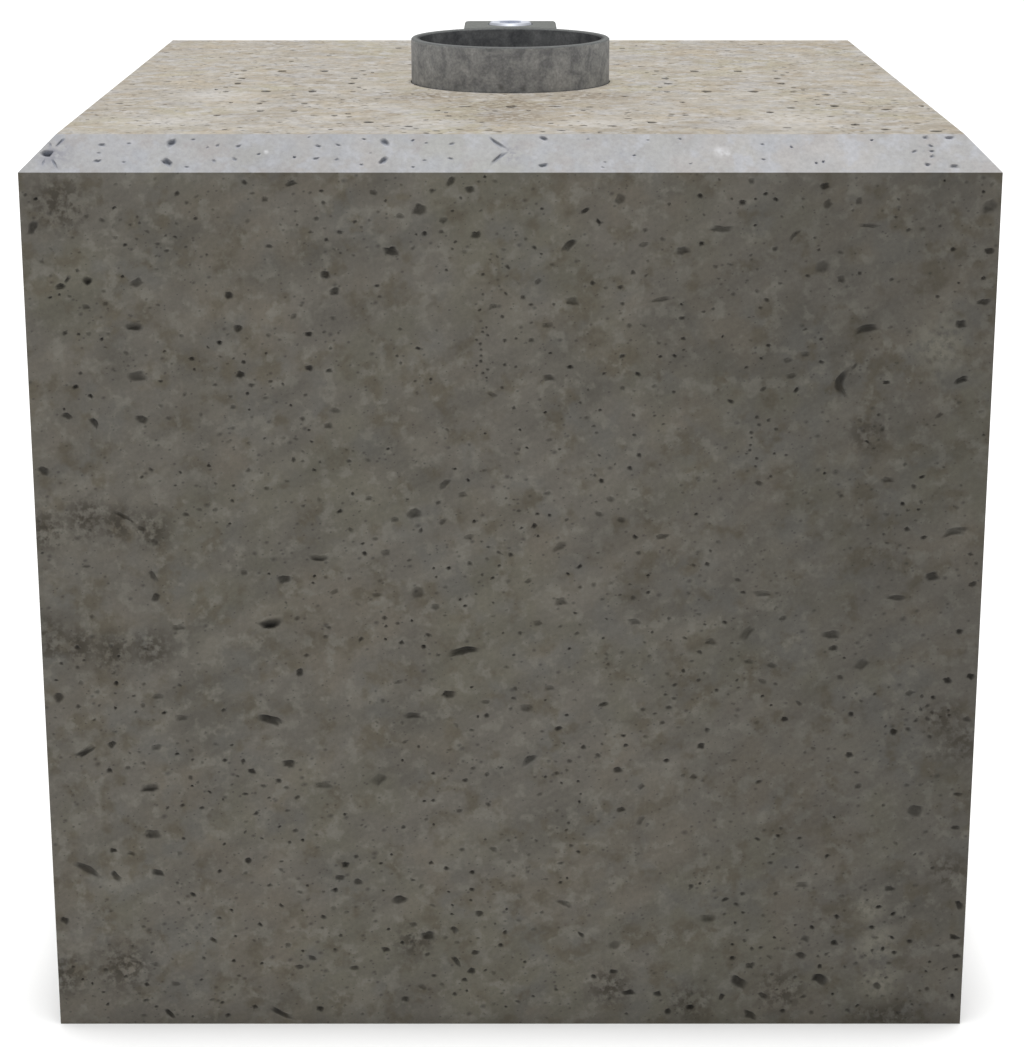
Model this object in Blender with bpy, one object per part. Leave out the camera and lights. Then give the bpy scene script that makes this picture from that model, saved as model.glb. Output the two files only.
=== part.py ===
"""Concrete foundation block for a sign post.

A chamfered cube of cast concrete holds an upright steel sleeve that takes the post.
Behind the sleeve's mouth a steel lug is welded on, and its upright socket head screw clamps the post.
Metres, +Z up. The origin is the centre of the block's underside, and -Y is the front.
"""

import math

import bmesh
import bpy

# Block
BLOCK_WIDTH = 0.300
BLOCK_DEPTH = 0.300
BLOCK_HEIGHT = 0.296
TOP_CHAMFER = 0.0103
POST_SEAT_HEIGHT = 0.056
DRAIN_DIAMETER = 0.026

# Sleeve
SLEEVE_OUTER_DIAMETER = 0.0710
SLEEVE_WALL = 0.0030
SLEEVE_ABOVE_BLOCK = 0.0156
SLEEVE_FORWARD_OF_CENTRE = 0.0023
SLEEVE_BELOW_SEAT = 0.010
SLEEVE_EDGE_BREAK = 0.0004

# Lug
LUG_WIDTH = 0.0345
LUG_BEHIND_SLEEVE = 0.0261
LUG_BELOW_SCREW = 0.0078
LUG_CORNER_RADIUS = 0.0025
LUG_EDGE_BREAK = 0.0005

# Clamping screw, metric size 10
HEAD_DIAMETER = 0.016
HEAD_HEIGHT = 0.010
HEAD_ABOVE_LUG = 0.0008
HEAD_EDGE_WIDTH = 0.0005
HEAD_EDGE_HEIGHT = 0.0008
KEY_ACROSS_FLATS = 0.008
KEY_DEPTH = 0.005
THREAD_DIAMETER = 0.010
THREAD_LENGTH = 0.040
THREAD_END_CHAMFER = 0.001

# Clearances
CAST_GAP = 0.0003
WELD_GAP = 0.0003
HEAD_GAP = 0.0005
THREAD_GAP = 0.0003
SCREW_END_GAP = 0.003

# Facets round each form, and how far a cutter runs past the face that it opens
SLEEVE_SIDES = 96
SCREW_SIDES = 64
DRAIN_SIDES = 48
CORNER_STEPS = 6
KEY_SIDES = 6
CUTTER_OVERRUN = 0.005
SMOOTH_ANGLE = math.radians(35)
SAME_HEIGHT = 1e-6

# Sizes that follow from those above
SLEEVE_RADIUS = SLEEVE_OUTER_DIAMETER / 2
BORE_RADIUS = SLEEVE_RADIUS - SLEEVE_WALL
SLEEVE_Y = -SLEEVE_FORWARD_OF_CENTRE
SLEEVE_FOOT = POST_SEAT_HEIGHT - SLEEVE_BELOW_SEAT
STEEL_TOP = BLOCK_HEIGHT + SLEEVE_ABOVE_BLOCK
LUG_BACK_Y = SLEEVE_Y + SLEEVE_RADIUS + LUG_BEHIND_SLEEVE
SCREW_Y = SLEEVE_Y + SLEEVE_RADIUS + LUG_BEHIND_SLEEVE / 2
HEAD_TOP = STEEL_TOP + HEAD_ABOVE_LUG
HEAD_SEAT = HEAD_TOP - HEAD_HEIGHT
THREAD_END = HEAD_SEAT - THREAD_LENGTH
THREAD_ROOM_END = THREAD_END - SCREW_END_GAP
LUG_BOTTOM = THREAD_ROOM_END - LUG_BELOW_SCREW

# Finishes: colour, roughness, metallic
CAST_CONCRETE = ("cast_concrete", (0.27, 0.255, 0.225), 0.92, 0.0)
SLEEVE_STEEL = ("galvanised_tube", (0.15, 0.145, 0.14), 0.65, 0.6)
LUG_STEEL = ("galvanised_lug", (0.18, 0.18, 0.18), 0.6, 0.6)
SCREW_STEEL = ("zinc_plated_screw", (0.72, 0.75, 0.82), 0.3, 1.0)


def clear_scene():
    for obj in list(bpy.data.objects):
        bpy.data.objects.remove(obj, do_unlink=True)


def make_material(finish):
    name, colour, roughness, metallic = finish
    material = bpy.data.materials.new(name)
    material.use_nodes = True
    shader = material.node_tree.nodes["Principled BSDF"]
    shader.inputs["Base Color"].default_value = (*colour, 1.0)
    shader.inputs["Roughness"].default_value = roughness
    shader.inputs["Metallic"].default_value = metallic
    return material


def place(name, shape):
    """Turns a bmesh into an object of the scene, its faces pointing out."""
    bmesh.ops.recalc_face_normals(shape, faces=shape.faces)
    mesh = bpy.data.meshes.new(name)
    shape.to_mesh(mesh)
    shape.free()
    obj = bpy.data.objects.new(name, mesh)
    bpy.context.scene.collection.objects.link(obj)
    return obj


def place_piece(name, shape, finish):
    piece = place(name, shape)
    piece.data.materials.append(make_material(finish))
    piece.data.shade_smooth()
    piece.data.set_sharp_from_angle(angle=SMOOTH_ANGLE)
    return piece


def cut(piece, name, shape):
    """Cuts a shape out of a piece, and keeps it as a hidden cutter."""
    cutter = place(name, shape)
    cutter.hide_render = True
    cutter.display_type = "WIRE"
    modifier = piece.modifiers.new(name, "BOOLEAN")
    modifier.operation = "DIFFERENCE"
    modifier.solver = "EXACT"
    modifier.object = cutter


def extruded(outline, low, high):
    """A bmesh of a flat outline raised from one height to another."""
    shape = bmesh.new()
    base = shape.faces.new([shape.verts.new((x, y, low)) for x, y in outline])
    raised = bmesh.ops.extrude_face_region(shape, geom=[base])
    moved = [item for item in raised["geom"] if isinstance(item, bmesh.types.BMVert)]
    bmesh.ops.translate(shape, verts=moved, vec=(0, 0, high - low))
    return shape


def circle_point(radius, angle, centre_y):
    return radius * math.cos(angle), centre_y + radius * math.sin(angle)


def turned(profile, sides, centre_y):
    """A bmesh of a closed radius and height profile, turned about an upright axis on the centre line."""
    shape = bmesh.new()
    rings = []
    for radius, height in profile:
        turns = [2 * math.pi * step / sides for step in range(sides if radius else 1)]
        points = [circle_point(radius, turn, centre_y) for turn in turns]
        rings.append([shape.verts.new((x, y, height)) for x, y in points])
    for ring, following in zip(rings, rings[1:] + rings[:1]):
        if len(ring) == len(following) == 1:
            continue
        for step in range(sides):
            after = (step + 1) % sides
            corners = [ring[step % len(ring)], ring[after % len(ring)]]
            corners += [following[after % len(following)], following[step % len(following)]]
            shape.faces.new(list(dict.fromkeys(corners)))
    return shape


def rod(radius, low, high, sides, centre_y):
    return turned([(0, low), (radius, low), (radius, high), (0, high)], sides, centre_y)


def chamfer_top(shape, height, width):
    """Takes one flat chamfer off all the edges that lie at a height."""
    edges = [e for e in shape.edges if all(abs(v.co.z - height) < SAME_HEIGHT for v in e.verts)]
    bmesh.ops.bevel(shape, geom=edges, offset=width, segments=1, affect="EDGES")


def block_outline():
    x = BLOCK_WIDTH / 2
    y = BLOCK_DEPTH / 2
    return [(-x, -y), (x, -y), (x, y), (-x, y)]


def lug_outline(spread):
    """The lug from above, grown by spread: it starts at the sleeve's axis and has two round back corners."""
    half = LUG_WIDTH / 2 + spread
    radius = LUG_CORNER_RADIUS + spread
    centre_x = half - radius
    centre_y = LUG_BACK_Y + spread - radius
    outline = [(-half, SLEEVE_Y), (half, SLEEVE_Y)]
    for side in (1, -1):
        arc = [math.pi / 2 * step / CORNER_STEPS for step in range(CORNER_STEPS + 1)]
        for turn in arc[::side]:
            x, y = circle_point(radius, turn, centre_y)
            outline.append((side * (centre_x + x), y))
    return outline


def key_outline():
    """The hexagon of the screw's key hole, with a corner to the back."""
    radius = KEY_ACROSS_FLATS / 2 / math.cos(math.pi / KEY_SIDES)
    turns = [math.pi / 2 + 2 * math.pi * step / KEY_SIDES for step in range(KEY_SIDES)]
    return [circle_point(radius, turn, SCREW_Y) for turn in turns]


def make_block():
    """The cast block: one chamfer round its top, and the hollows that hold the steel.

    The concrete fills the sleeve's foot, and the top of that filling is the seat of the post.
    """
    shape = extruded(block_outline(), 0, BLOCK_HEIGHT)
    chamfer_top(shape, BLOCK_HEIGHT, TOP_CHAMFER)
    block = place_piece("concrete_block", shape, CAST_CONCRETE)

    above = BLOCK_HEIGHT + CUTTER_OVERRUN
    foot = SLEEVE_FOOT - CAST_GAP
    outside = SLEEVE_RADIUS + CAST_GAP
    filling = BORE_RADIUS - CAST_GAP
    profile = [
        (0, POST_SEAT_HEIGHT),
        (filling, POST_SEAT_HEIGHT),
        (filling, foot),
        (outside, foot),
        (outside, above),
        (0, above),
    ]
    cut(block, "hollow_for_sleeve", turned(profile, SLEEVE_SIDES, SLEEVE_Y))
    lug_hollow = extruded(lug_outline(CAST_GAP), LUG_BOTTOM - CAST_GAP, above)
    cut(block, "hollow_for_lug", lug_hollow)
    drain_top = POST_SEAT_HEIGHT + CUTTER_OVERRUN
    drain = rod(DRAIN_DIAMETER / 2, -CUTTER_OVERRUN, drain_top, DRAIN_SIDES, SLEEVE_Y)
    cut(block, "hollow_for_drain", drain)


def make_sleeve():
    """The tube that takes the post."""
    shoulder = STEEL_TOP - SLEEVE_EDGE_BREAK
    profile = [
        (BORE_RADIUS, SLEEVE_FOOT),
        (SLEEVE_RADIUS, SLEEVE_FOOT),
        (SLEEVE_RADIUS, shoulder),
        (SLEEVE_RADIUS - SLEEVE_EDGE_BREAK, STEEL_TOP),
        (BORE_RADIUS + SLEEVE_EDGE_BREAK, STEEL_TOP),
        (BORE_RADIUS, shoulder),
    ]
    place_piece("post_sleeve", turned(profile, SLEEVE_SIDES, SLEEVE_Y), SLEEVE_STEEL)


def make_lug():
    """The lug: hollowed in front to lie against the sleeve, drilled and counterbored for the screw."""
    shape = extruded(lug_outline(0), LUG_BOTTOM, STEEL_TOP)
    chamfer_top(shape, STEEL_TOP, LUG_EDGE_BREAK)
    lug = place_piece("clamp_lug", shape, LUG_STEEL)

    above = STEEL_TOP + CUTTER_OVERRUN
    below = LUG_BOTTOM - CUTTER_OVERRUN
    against_sleeve = rod(SLEEVE_RADIUS + WELD_GAP, below, above, SLEEVE_SIDES, SLEEVE_Y)
    cut(lug, "hollow_against_sleeve", against_sleeve)
    head_room = HEAD_DIAMETER / 2 + HEAD_GAP
    thread_room = THREAD_DIAMETER / 2 + THREAD_GAP
    head_room_floor = HEAD_SEAT - CAST_GAP
    profile = [
        (0, THREAD_ROOM_END),
        (thread_room, THREAD_ROOM_END),
        (thread_room, head_room_floor),
        (head_room, head_room_floor),
        (head_room, above),
        (0, above),
    ]
    cut(lug, "room_for_screw", turned(profile, SCREW_SIDES, SCREW_Y))


def make_screw():
    """The socket head screw, its head sunk in the lug all but its edge."""
    head = HEAD_DIAMETER / 2
    thread = THREAD_DIAMETER / 2
    profile = [
        (0, THREAD_END),
        (thread - THREAD_END_CHAMFER, THREAD_END),
        (thread, THREAD_END + THREAD_END_CHAMFER),
        (thread, HEAD_SEAT),
        (head, HEAD_SEAT),
        (head, HEAD_TOP - HEAD_EDGE_HEIGHT),
        (head - HEAD_EDGE_WIDTH, HEAD_TOP),
        (0, HEAD_TOP),
    ]
    screw = place_piece("clamp_screw", turned(profile, SCREW_SIDES, SCREW_Y), SCREW_STEEL)
    key_hole = extruded(key_outline(), HEAD_TOP - KEY_DEPTH, HEAD_TOP + CUTTER_OVERRUN)
    cut(screw, "room_for_key", key_hole)


def main():
    clear_scene()
    make_block()
    make_sleeve()
    make_lug()
    make_screw()


main()
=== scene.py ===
"""Looks of a cast concrete foundation block for a sign post.

The block gets a skin with its air holes sunk in it, in the three finishes that the casting gave the concrete.
The steel sleeve, lug and screw keep their solids and get their metals. Metres, +Z up, the front faces -Y.
"""
import math
import random
from typing import NamedTuple

import bmesh
import bpy
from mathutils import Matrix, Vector, noise
from mathutils.geometry import (
    delaunay_2d_cdt, intersect_line_line_2d, intersect_point_line, intersect_point_tri_2d,
)


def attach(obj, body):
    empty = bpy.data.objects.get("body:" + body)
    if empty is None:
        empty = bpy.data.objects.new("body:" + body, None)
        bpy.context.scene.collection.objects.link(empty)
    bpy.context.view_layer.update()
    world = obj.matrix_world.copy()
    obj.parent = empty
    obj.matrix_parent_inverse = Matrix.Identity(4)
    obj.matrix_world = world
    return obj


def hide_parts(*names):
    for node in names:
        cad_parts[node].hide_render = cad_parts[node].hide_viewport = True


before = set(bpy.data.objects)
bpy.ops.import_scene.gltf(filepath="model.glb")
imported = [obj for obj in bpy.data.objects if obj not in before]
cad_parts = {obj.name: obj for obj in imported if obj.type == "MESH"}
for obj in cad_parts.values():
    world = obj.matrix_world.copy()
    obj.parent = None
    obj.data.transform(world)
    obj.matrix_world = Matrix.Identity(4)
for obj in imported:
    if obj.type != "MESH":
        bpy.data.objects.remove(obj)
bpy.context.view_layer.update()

MM = 0.001

# The camera of the photograph
CAMERA_PLACE = (0.0, -0.9172, 0.4044)
CAMERA_PITCH = math.radians(75)
LENS_MM = 87.14
FRAME_SHIFT_X = 0.0016
FRAME_SHIFT_Y = -0.0720

# The bore of the sleeve
BORE_AXIS = (0.0, -2.3 * MM, 0.0)
BORE_RADIUS = 32.5 * MM

# Studio
FLOOR_HALF = 16.0
FLOOR_DROP = 0.05 * MM
SOFTBOX_STRENGTH = 3.7
SOFTBOX_SPREAD = math.radians(15)
ROOM_STRENGTH = 0.25

# The many small air holes, in mm: their sizes, the room round each, and the drifts they lie in
SMALLEST_HOLE = 0.85
TYPICAL_EXTRA = 0.48
HOLE_GAP = 0.2
EDGE_MARGIN = 0.3
DRIFT_SIZE = 45.0

# The larger air holes on the front, in mm and degrees:
# across from the middle, up from the foot, length, width, tilt, how far the ends bend, share of full depth
# and of full painted shade.
# A minus on the last one puts the deepest part, and the darkest painted shade, below.
FRONT_HOLES = [
    (-146.4, 268.5, 4, 2.4, 65, 0, 0.7), (-138.7, 250.4, 2.6, 1.9, 30, 0, 0.9),
    (-141.2, 249.6, 1.8, 0.9, 5, 0, 0.8), (-136.6, 252.5, 2.1, 1.1, 50, 0, 0.8),
    (-139.1, 247.8, 0.9, 0.9, 0, 0, 0.7), (-130.1, 252.5, 2.8, 2.3, 45, -0.3, -0.9),
    (-115.3, 251.6, 3.6, 2.4, 12, 0, 0.6), (-116.6, 238.2, 5.6, 2.9, 0, -0.3, -0.6),
    (-116.4, 221.9, 5.4, 2.9, 0, 0.3, 0.6), (-138.4, 209.1, 2.9, 1.6, -25, -0.4, 0.8),
    (-141.2, 209.7, 1.7, 1, 5, 0, 0.7), (-136.3, 206.9, 2, 1.2, -50, 0, 0.7),
    (-139.3, 211.4, 0.9, 0.9, 0, 0, 0.7), (-130.1, 206.8, 3.4, 1.8, -48, -0.6, 0.9),
    (-115, 208, 3.6, 2.3, -12, 0, 0.7), (-146.6, 191.3, 3.4, 2.4, -35, 0, 0.7),
    (-54.2, 248.8, 3, 2, 25, 0, 0.8), (-36.8, 261.4, 4.2, 2.5, -5, 0, 1), (-27.8, 274.3, 3.6, 3, 0, 0, 0.7),
    (-18.2, 283, 3.3, 1.8, 55, 0, 0.8), (-10.6, 266.5, 2.9, 2, 15, 0, 0.9),
    (18.2, 263.2, 4.8, 2, 38, -0.5, 0.9), (33.5, 277.5, 3.4, 2.8, 60, 0, 0.35),
    (19, 245.5, 3.2, 2.7, 0, 0, 0.35), (11.8, 221.5, 3.2, 1.8, -3, 0, 0.6),
    (46.5, 246.3, 5.5, 1.4, 10, 0, 0.45), (52.8, 261.4, 3.8, 2.2, 12, 0, 0.6),
    (64.6, 268.4, 6, 1.8, 0, 0.2, 0.7), (97, 276, 2.8, 2.2, 50, 0, 0.5),
    (87.2, 266.3, 4.6, 1.3, 48, -0.7, 0.4), (110, 269.3, 5.6, 1.3, -4, 0, 0.4),
    (96, 256.3, 4, 3.4, 10, 0, 0.25), (110.4, 236.9, 6.2, 2.3, 12, -0.7, 0.75),
    (139.3, 238.4, 3.6, 2.5, 0, 0, 0.7), (147.2, 261.4, 3, 2, -5, 0, 0.9),
    (146.3, 245.5, 3.8, 1.8, 10, 0, 0.7), (140.4, 220.6, 3.9, 2, 25, -0.6, 0.9),
    (103.2, 219.6, 6.6, 2.7, 90, -2.2, 0.8), (106.8, 214.6, 2.6, 0.8, -48, 0, 0.7),
    (107, 225.2, 2.2, 1, 55, 0, 0.4), (146.6, 275.2, 4.4, 3, 35, 0, 0.35),
    (-20.8, 187, 3.6, 1.9, 50, 0, 0.6), (118.7, 188.4, 3.6, 1.7, 0, 0, 0.4),
    (-121.7, 176.3, 6.5, 1.4, -28, 0, 0.45), (-30.4, 177.3, 3.8, 3, 0, 0, 0.55),
    (48, 169.7, 3.8, 1.8, 5, 0, 0.45), (15.5, 166.2, 5, 2, 35, -0.4, 0.35),
    (-60.8, 163, 5.2, 2.2, 0, 0.3, -0.45), (140.7, 171.3, 6.8, 2.4, 12, -0.5, 0.5),
    (-113.5, 157, 3.4, 1.7, -55, 0, 0.7), (-72, 155.6, 3.8, 2.2, 5, 0, 0.8),
    (134, 156.5, 4, 2.4, 5, 0, 0.8), (123.3, 149.4, 5.6, 1.7, 0, -0.2, 0.6),
    (-29.5, 151, 4, 3.4, 20, 0, 0.25), (16, 148.2, 3.6, 2.4, 0, 0, 0.4), (39.7, 141.5, 3.8, 1.9, 5, 0, 0.4),
    (-76.6, 141, 7, 2.9, 14, 0.5, -1), (103, 136.8, 5, 2.6, 0, 0, 0.6), (75.7, 137.6, 5.2, 2.6, 55, 0, 0.3),
    (-14.8, 131.3, 7.2, 2.7, 10, -0.5, 1), (-67.7, 124.2, 2.6, 2, 90, 0, 0.9),
    (147.9, 122.8, 2.6, 2.2, 0, 0, 1), (-145.4, 115.5, 3.2, 2.6, 55, 0, 0.7),
    (-20.2, 116.8, 3.9, 2.4, 0, 0, 0.9), (-31.5, 109.4, 5.4, 1.7, 0, -0.2, 0.6),
    (-77.3, 107.8, 7, 2.9, -14, -0.5, 1), (-137.5, 97.5, 7, 2.1, 30, 0.4, -0.8),
    (6.3, 94.2, 4.6, 2, 30, -0.6, 0.7), (-71.6, 92.8, 3.8, 2.2, -3, 0, 0.9),
    (34.7, 90.6, 2.8, 1.9, 12, 0, 0.9), (-117, 84.7, 5.4, 2.8, 0, -0.3, -0.6),
    (-117, 68.4, 5.4, 2.8, 0, 0.3, 0.7), (132, 76.5, 4.2, 3.4, 5, 0, 0.6),
    (-138.3, 55.4, 7.2, 2.1, -32, -0.4, 0.8), (-129.6, 53.4, 3.6, 2, -48, 0, 0.9),
    (-115.5, 54.4, 3.8, 2.2, -12, 0, 0.8), (-36.4, 44.8, 4.2, 2.4, 5, 0, 1),
    (18, 43.4, 4.6, 1.8, -25, -0.4, 0.4), (147.8, 43, 3.6, 2, -62, 0, 1),
    (146.8, 31.3, 4.2, 2.4, -20, 0, 0.7), (-27.3, 31.8, 3.8, 2.8, 0, 0, 0.8),
    (-17.8, 22.7, 4.2, 1.6, -55, 0, 0.9), (39.2, 11.3, 3.9, 2, 0, 0, 1), (75.8, 15.3, 5.4, 3.2, -48, 0, 1),
    (102.5, 15.8, 5.2, 3, -20, -0.8, 1), (80, 3, 4, 2.4, -25, 0, 0.8), (-76, 3.6, 7.6, 1.6, -26, 0.4, 1),
    (-113.3, 3.3, 3.4, 1.9, -50, 0, 1),
]

# The middling air holes on the front, dark ones and faint ones: across, up, length, width, tilt
FRONT_DARK_HOLES = [
    (-87, 247.5, 2.2, 2, 0), (-84, 237, 2.6, 2, 0), (-62.5, 235.3, 2.2, 1.6, 0), (-57, 254, 2.6, 2.2, 0),
    (-67, 282.2, 2.8, 1.6, 20), (-84, 222.5, 2.5, 2, 0), (-62.5, 224.5, 2.2, 1.6, 0),
    (-12.5, 280.5, 2.6, 1.8, 0), (23, 274, 2.4, 1.4, 30), (71, 276.5, 2.1, 1.8, 0), (96, 281.5, 2.6, 2, 30),
    (117, 220, 2.4, 1.2, 0), (-113, 149.5, 2.8, 2, 50), (-129, 99.5, 2.6, 2.2, 40), (-130, 90.5, 2, 1.6, 0),
    (-84, 90.3, 2.4, 1.6, -10), (15.5, 105, 2.4, 1.4, 30), (29.8, 113.3, 2.6, 1.4, 20),
    (37.3, 99.3, 1.8, 1.2, 20), (147, 154, 2.8, 1.6, 10), (143.5, 138, 2, 1.8, 0),
    (103.5, 132.4, 2.6, 1.6, 10), (88.5, 108.3, 2.4, 1.6, 0), (110, 109.9, 2, 1.6, 0),
    (61.8, 99, 2.4, 1.8, 0), (109.8, 96, 2.4, 1.8, 10), (-130, 62.5, 2.2, 1.6, 0), (-86, 58.8, 2.2, 1.8, 0),
    (-56, 52.7, 2.6, 1.8, 0), (-147, 37.5, 2.8, 2.4, -45), (-98, 30.3, 2.6, 1.2, -30),
    (-82.5, 36, 2, 1.2, -30), (-65.5, 23.8, 2.6, 1.4, -25), (-69.8, 20.6, 2.6, 1.4, 0),
    (-63.3, 5.3, 2.2, 1.6, -15), (-50, 51.3, 2.8, 1.8, -10), (-54, 57.3, 2.2, 2, 0),
    (-21, 56, 1.8, 1.4, -30), (-12.7, 48.6, 2, 1.2, -25), (-10, 39.8, 2.6, 1.8, 0),
    (-18.5, 34, 2.6, 1.8, -40), (-11.7, 25.8, 2.6, 1.6, 0), (-12.8, 19.2, 2.2, 1.8, 0),
    (-15.2, 16, 2, 1.4, 0), (-41.2, 27, 2.4, 1.6, 0), (-51.8, 20.3, 2.8, 1.4, 0), (-35, 9, 2.6, 1.8, -25),
    (36, 76.8, 2.6, 1.6, 10), (23.5, 32.3, 2.4, 1.2, -35), (34, 19, 2.4, 1.4, 0), (27.7, 17.1, 2, 1.4, 0),
    (49, 10.8, 2.4, 1.8, 0), (52.5, 4.6, 2.2, 1.8, 90), (145.5, 82.3, 2.6, 1.2, 0),
    (145.3, 70.5, 2.6, 1.2, 0), (124.5, 48.9, 2.8, 1.6, 0), (147.6, 24.6, 3, 1.6, 0),
    (96.3, 24.8, 2.8, 1.8, -25), (107, 29.4, 2.2, 1.8, 0), (132, 30, 1.8, 1.4, 0),
    (123.3, 27.2, 1.7, 1.5, 0), (127, 25.9, 1.6, 1.2, 0), (73.5, 23.8, 2, 1.6, 0),
    (79.4, 21.2, 2.8, 1.8, 20), (102.6, 20.9, 1.7, 1.5, 90), (84, 10.2, 2.8, 1.6, -30),
    (70.2, 9.4, 2.8, 1.5, 75), (122, 13.5, 3, 1.8, -50), (60, 5.9, 2.2, 1.8, 0), (90.7, 4.7, 2, 1.4, 0),
    (140.4, 121.5, 2.4, 2, 10), (136.1, 115.7, 1.6, 1.3, 0), (124, 103.8, 2.2, 2, 0),
]
FRONT_FAINT_HOLES = [
    (-125, 245, 2, 1.4, 20), (-131, 244, 2.2, 1.6, 0), (-67, 241, 2.2, 1.4, 40), (-75, 277.5, 2, 1.9, 0),
    (-86.5, 212, 2, 1.6, -10), (-57, 206, 2.4, 2, 0), (-54.5, 211, 3, 1.6, -10),
    (-33.8, 272.4, 2.4, 1.6, 0), (-20.5, 271, 2.2, 1.8, 45), (-42, 279.5, 2.2, 1.8, 0),
    (41, 263.5, 2.6, 1.6, 10), (8.5, 252, 2.4, 1.4, 35), (-5.5, 244, 2.8, 1.6, 25),
    (11.5, 238.2, 3.2, 1.8, 5), (-5.5, 216, 2.6, 1.4, -25), (-15, 183.6, 2.6, 1.6, 5),
    (73.5, 283, 2, 1.8, 90), (101.8, 252.6, 2.4, 2, 90), (134, 209.5, 2.6, 1.4, 30),
    (86, 227, 2.6, 1.6, 10), (87.5, 222, 2.6, 2, 15), (91.5, 229, 2.8, 1.6, 0), (106.5, 277, 2.2, 1.8, 90),
    (78, 187.5, 2.4, 1.6, -20), (-116.5, 172.4, 2.6, 1.6, -25), (-112.5, 168, 2.8, 2, 0),
    (-134.5, 160, 2.4, 1, 0), (-106, 139.5, 3.8, 2, 0), (-84.5, 158, 2.2, 1.6, 0),
    (-56, 151.5, 2.8, 1.6, 35), (-113.5, 116, 3.2, 1.8, 0), (-106, 108.8, 3.4, 2, 0),
    (-114.5, 98.5, 3.4, 2, 10), (-124, 91.5, 2, 1.4, 0), (-44.5, 182.5, 2.2, 1.6, 0),
    (-36.5, 175.4, 2.4, 1.6, 0), (-21.5, 174.6, 2.4, 1.6, 45), (-13.2, 169.7, 2.8, 1.8, 10),
    (-39.5, 164.5, 3, 1.8, 0), (-42.5, 150.5, 3, 1.4, 0), (-23.9, 146.4, 2.2, 2, 0),
    (5.7, 155, 2.2, 1.4, 20), (9, 141, 3, 1.8, 0), (28, 177.2, 2.6, 1.6, -10), (31.4, 182, 2.6, 1.6, -10),
    (35, 175.3, 2.4, 1.6, -15), (-36, 121, 3, 1.2, 15), (-7.8, 114.2, 2.6, 1.4, 10), (5, 112, 3.4, 2.6, 0),
    (12.5, 119, 3, 1.6, 0), (64, 134.7, 3.6, 2.2, 0), (80.5, 150.8, 5.4, 2, 0), (86.8, 142.5, 2.6, 1.6, 20),
    (113, 127, 4.6, 3.2, 40), (76.5, 128, 2.8, 1.6, -10), (83.8, 126.7, 2.8, 1.8, -15),
    (81, 121.3, 2.8, 1.6, -20), (106, 122.6, 2.1, 1.8, 0), (139, 122, 2.4, 1.8, 10),
    (93, 113.7, 2.2, 1.2, -35), (123.5, 104.4, 2.6, 1.6, 0), (147.2, 108.3, 2.4, 1.8, 0),
    (-124, 61.4, 2.2, 1.4, -10), (-73.5, 28.5, 2, 1.8, 0), (-124, 22.7, 4.6, 1.4, -30),
    (-117.6, 21.6, 2.6, 1.4, -20), (-111, 14.5, 2.6, 1.6, 0), (-32, 36, 2.4, 1.6, 0),
    (-29, 13, 2.8, 1.6, -45), (42.8, 85, 2.4, 1.6, 35), (42.4, 72.8, 3.4, 1.8, 55),
    (-42.5, 87.3, 5, 3.2, 45), (-5.3, 62.8, 2.6, 1.6, -20), (34.5, 28.5, 3.2, 2.6, 0),
    (59.5, 88.3, 2.2, 1.6, 0), (113, 85, 2.2, 1.6, 10), (96, 50.3, 4.4, 2, 0), (65, 38, 5, 2.8, 0),
    (97.5, 31, 2.4, 2, -35), (-60.8, 85.5, 5.4, 2.2, 0),
    (128.4, 117.2, 2.4, 1.8, 30), (126.2, 116.7, 1.3, 1, 0), (134.4, 112.9, 1.7, 1.2, 40),
    (132.3, 111.6, 1.2, 1.4, 0), (136, 110.6, 1.6, 1.2, -30), (134.7, 108.4, 2, 1.5, -40),
    (141.2, 111.3, 1.4, 1, 0), (141.5, 109.6, 1.2, 1, 0), (128.5, 104.8, 2, 1.6, 0),
]

# Where the front is most porous: across, up, radius
POROUS = [
    (-56, 271, 18), (-38, 279, 14), (-22, 271, 16), (-63, 237, 14), (-84, 228, 20), (-28, 150, 36),
    (-110, 277, 26), (-128, 248, 20), (-48, 167, 22), (44, 264, 20), (63, 274, 14), (86, 267, 20),
    (124, 275, 14), (134, 250, 20), (30, 190, 16), (133, 112, 18), (8, 240, 14), (125, 20, 32), (95, 25, 22),
    (-15, 30, 22), (-120, 105, 18), (-84, 74, 16), (60, 125, 24), (-130, 20, 18), (-60, 45, 16), (20, 95, 18),
]

# Rows of fine pores, one under the other, on the front: across, up, width
FRONT_PORES = [
    (77, 208.9, 1.4), (76.2, 207.5, 1.2), (77.8, 206.4, 1.2), (75.4, 203.9, 1.3), (75.5, 202.2, 1),
    (75.2, 199.8, 1.1), (75.1, 198.1, 1.3), (74, 197, 0.8), (77.3, 195.5, 1.3), (75.9, 194.6, 1.1),
    (77, 192.9, 1), (80.7, 207.8, 1.2), (83.1, 205, 1.3), (82.8, 197.1, 1.2), (86.5, 196.5, 1.1),
    (81.9, 189.7, 1.2), (-7.4, 237.5, 0.9), (-8.6, 236.1, 1.2), (-7, 235, 1.2), (-10.4, 233.5, 1),
    (-9.3, 232.3, 1.3), (-9.1, 230.5, 1), (-9.1, 228.5, 1), (-9.2, 226.7, 1.3), (-10.5, 225.4, 1),
    (-7, 224.1, 1.2), (-8.5, 223, 1.2), (-7.4, 221.5, 0.9), (-1.7, 233.4, 1.3), (-1.7, 225.6, 1.3),
    (1.8, 234, 1.1), (1.7, 225, 1.1), (-2.5, 240.9, 1.4), (-2.5, 218.3, 1.3),
]

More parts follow.
